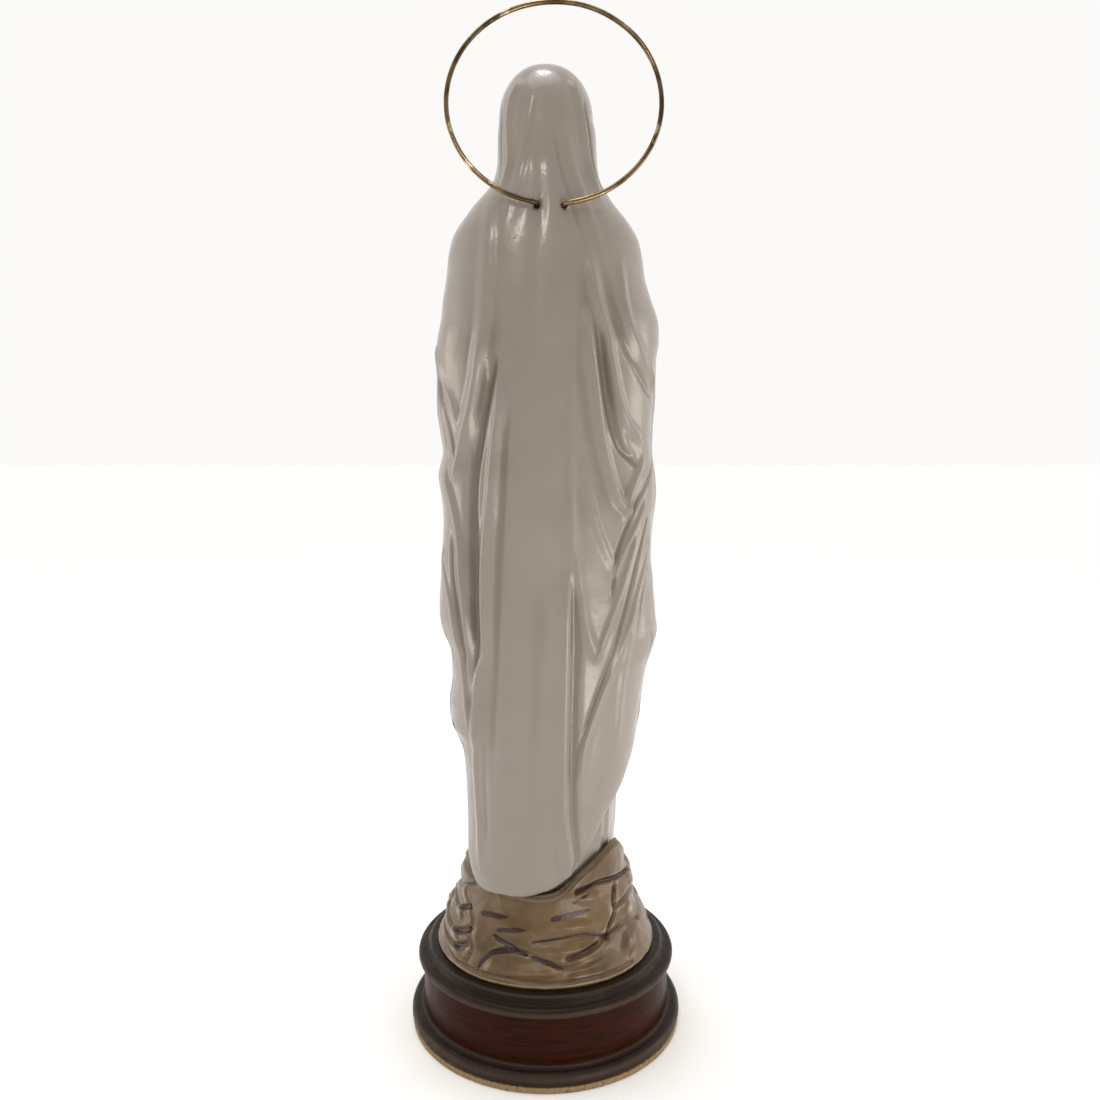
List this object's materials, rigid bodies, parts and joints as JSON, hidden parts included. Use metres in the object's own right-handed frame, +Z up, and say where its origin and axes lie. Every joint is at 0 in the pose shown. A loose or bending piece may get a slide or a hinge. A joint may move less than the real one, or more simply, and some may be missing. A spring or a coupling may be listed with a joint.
{
  "type": "madonna statue",
  "caption": "Painted standing Madonna with joined hands and a long veil on a rock, fixed to a round turned wooden plinth, with a pull-out brass wire halo.",
  "frame": {"origin": "centre of the underside of the pad, on the surface that the plinth stands on", "axes": "+Z up; the figure faces -Y, so its back is +Y and its left side is +X"},
  "size_m": [0.098, 0.098, 0.3517],
  "materials": {
    "cork": "bare cork",
    "black_lacquer": "near-black lacquer, satin gloss",
    "mahogany": "dark mahogany lacquer, satin gloss",
    "zinc_steel": "zinc plated",
    "raw_brass": "turned",
    "rock_paint": "brushed olive brown paint, glossy",
    "white_paint": "antique white paint, satin gloss",
    "flesh_paint": "flesh paint, satin",
    "hair_paint": "brown paint, satin",
    "blue_paint": "soft blue paint, satin",
    "gold_paint": "gold paint",
    "halo_brass": "polished wire"
  },
  "bodies": {
    "statue": {"base_pad": "cork", "base_moulding": "black_lacquer", "plinth_drum": "mahogany", "top_moulding": "black_lacquer", "fixing_screw": "zinc_steel", "fixing_washer": "zinc_steel", "threaded_insert": "raw_brass", "rock": "rock_paint", "robe": "white_paint", "mantle": "white_paint", "head": "flesh_paint", "hair": "hair_paint", "left_sleeve": "white_paint", "right_sleeve": "white_paint", "left_hand": "flesh_paint", "right_hand": "flesh_paint", "sash": "blue_paint", "sash_tails": "blue_paint", "rosary_beads": "gold_paint", "rosary_cross": "gold_paint", "left_foot": "flesh_paint", "right_foot": "flesh_paint", "left_rose": "gold_paint", "right_rose": "gold_paint"},
    "halo": {"halo": "halo_brass"}
  },
  "joints": [
    {"name": "halo_pull", "type": "slide", "parent": "statue", "child": "halo", "axis": [0, 1, 0], "range_m": [0, 0.01]}
  ]
}
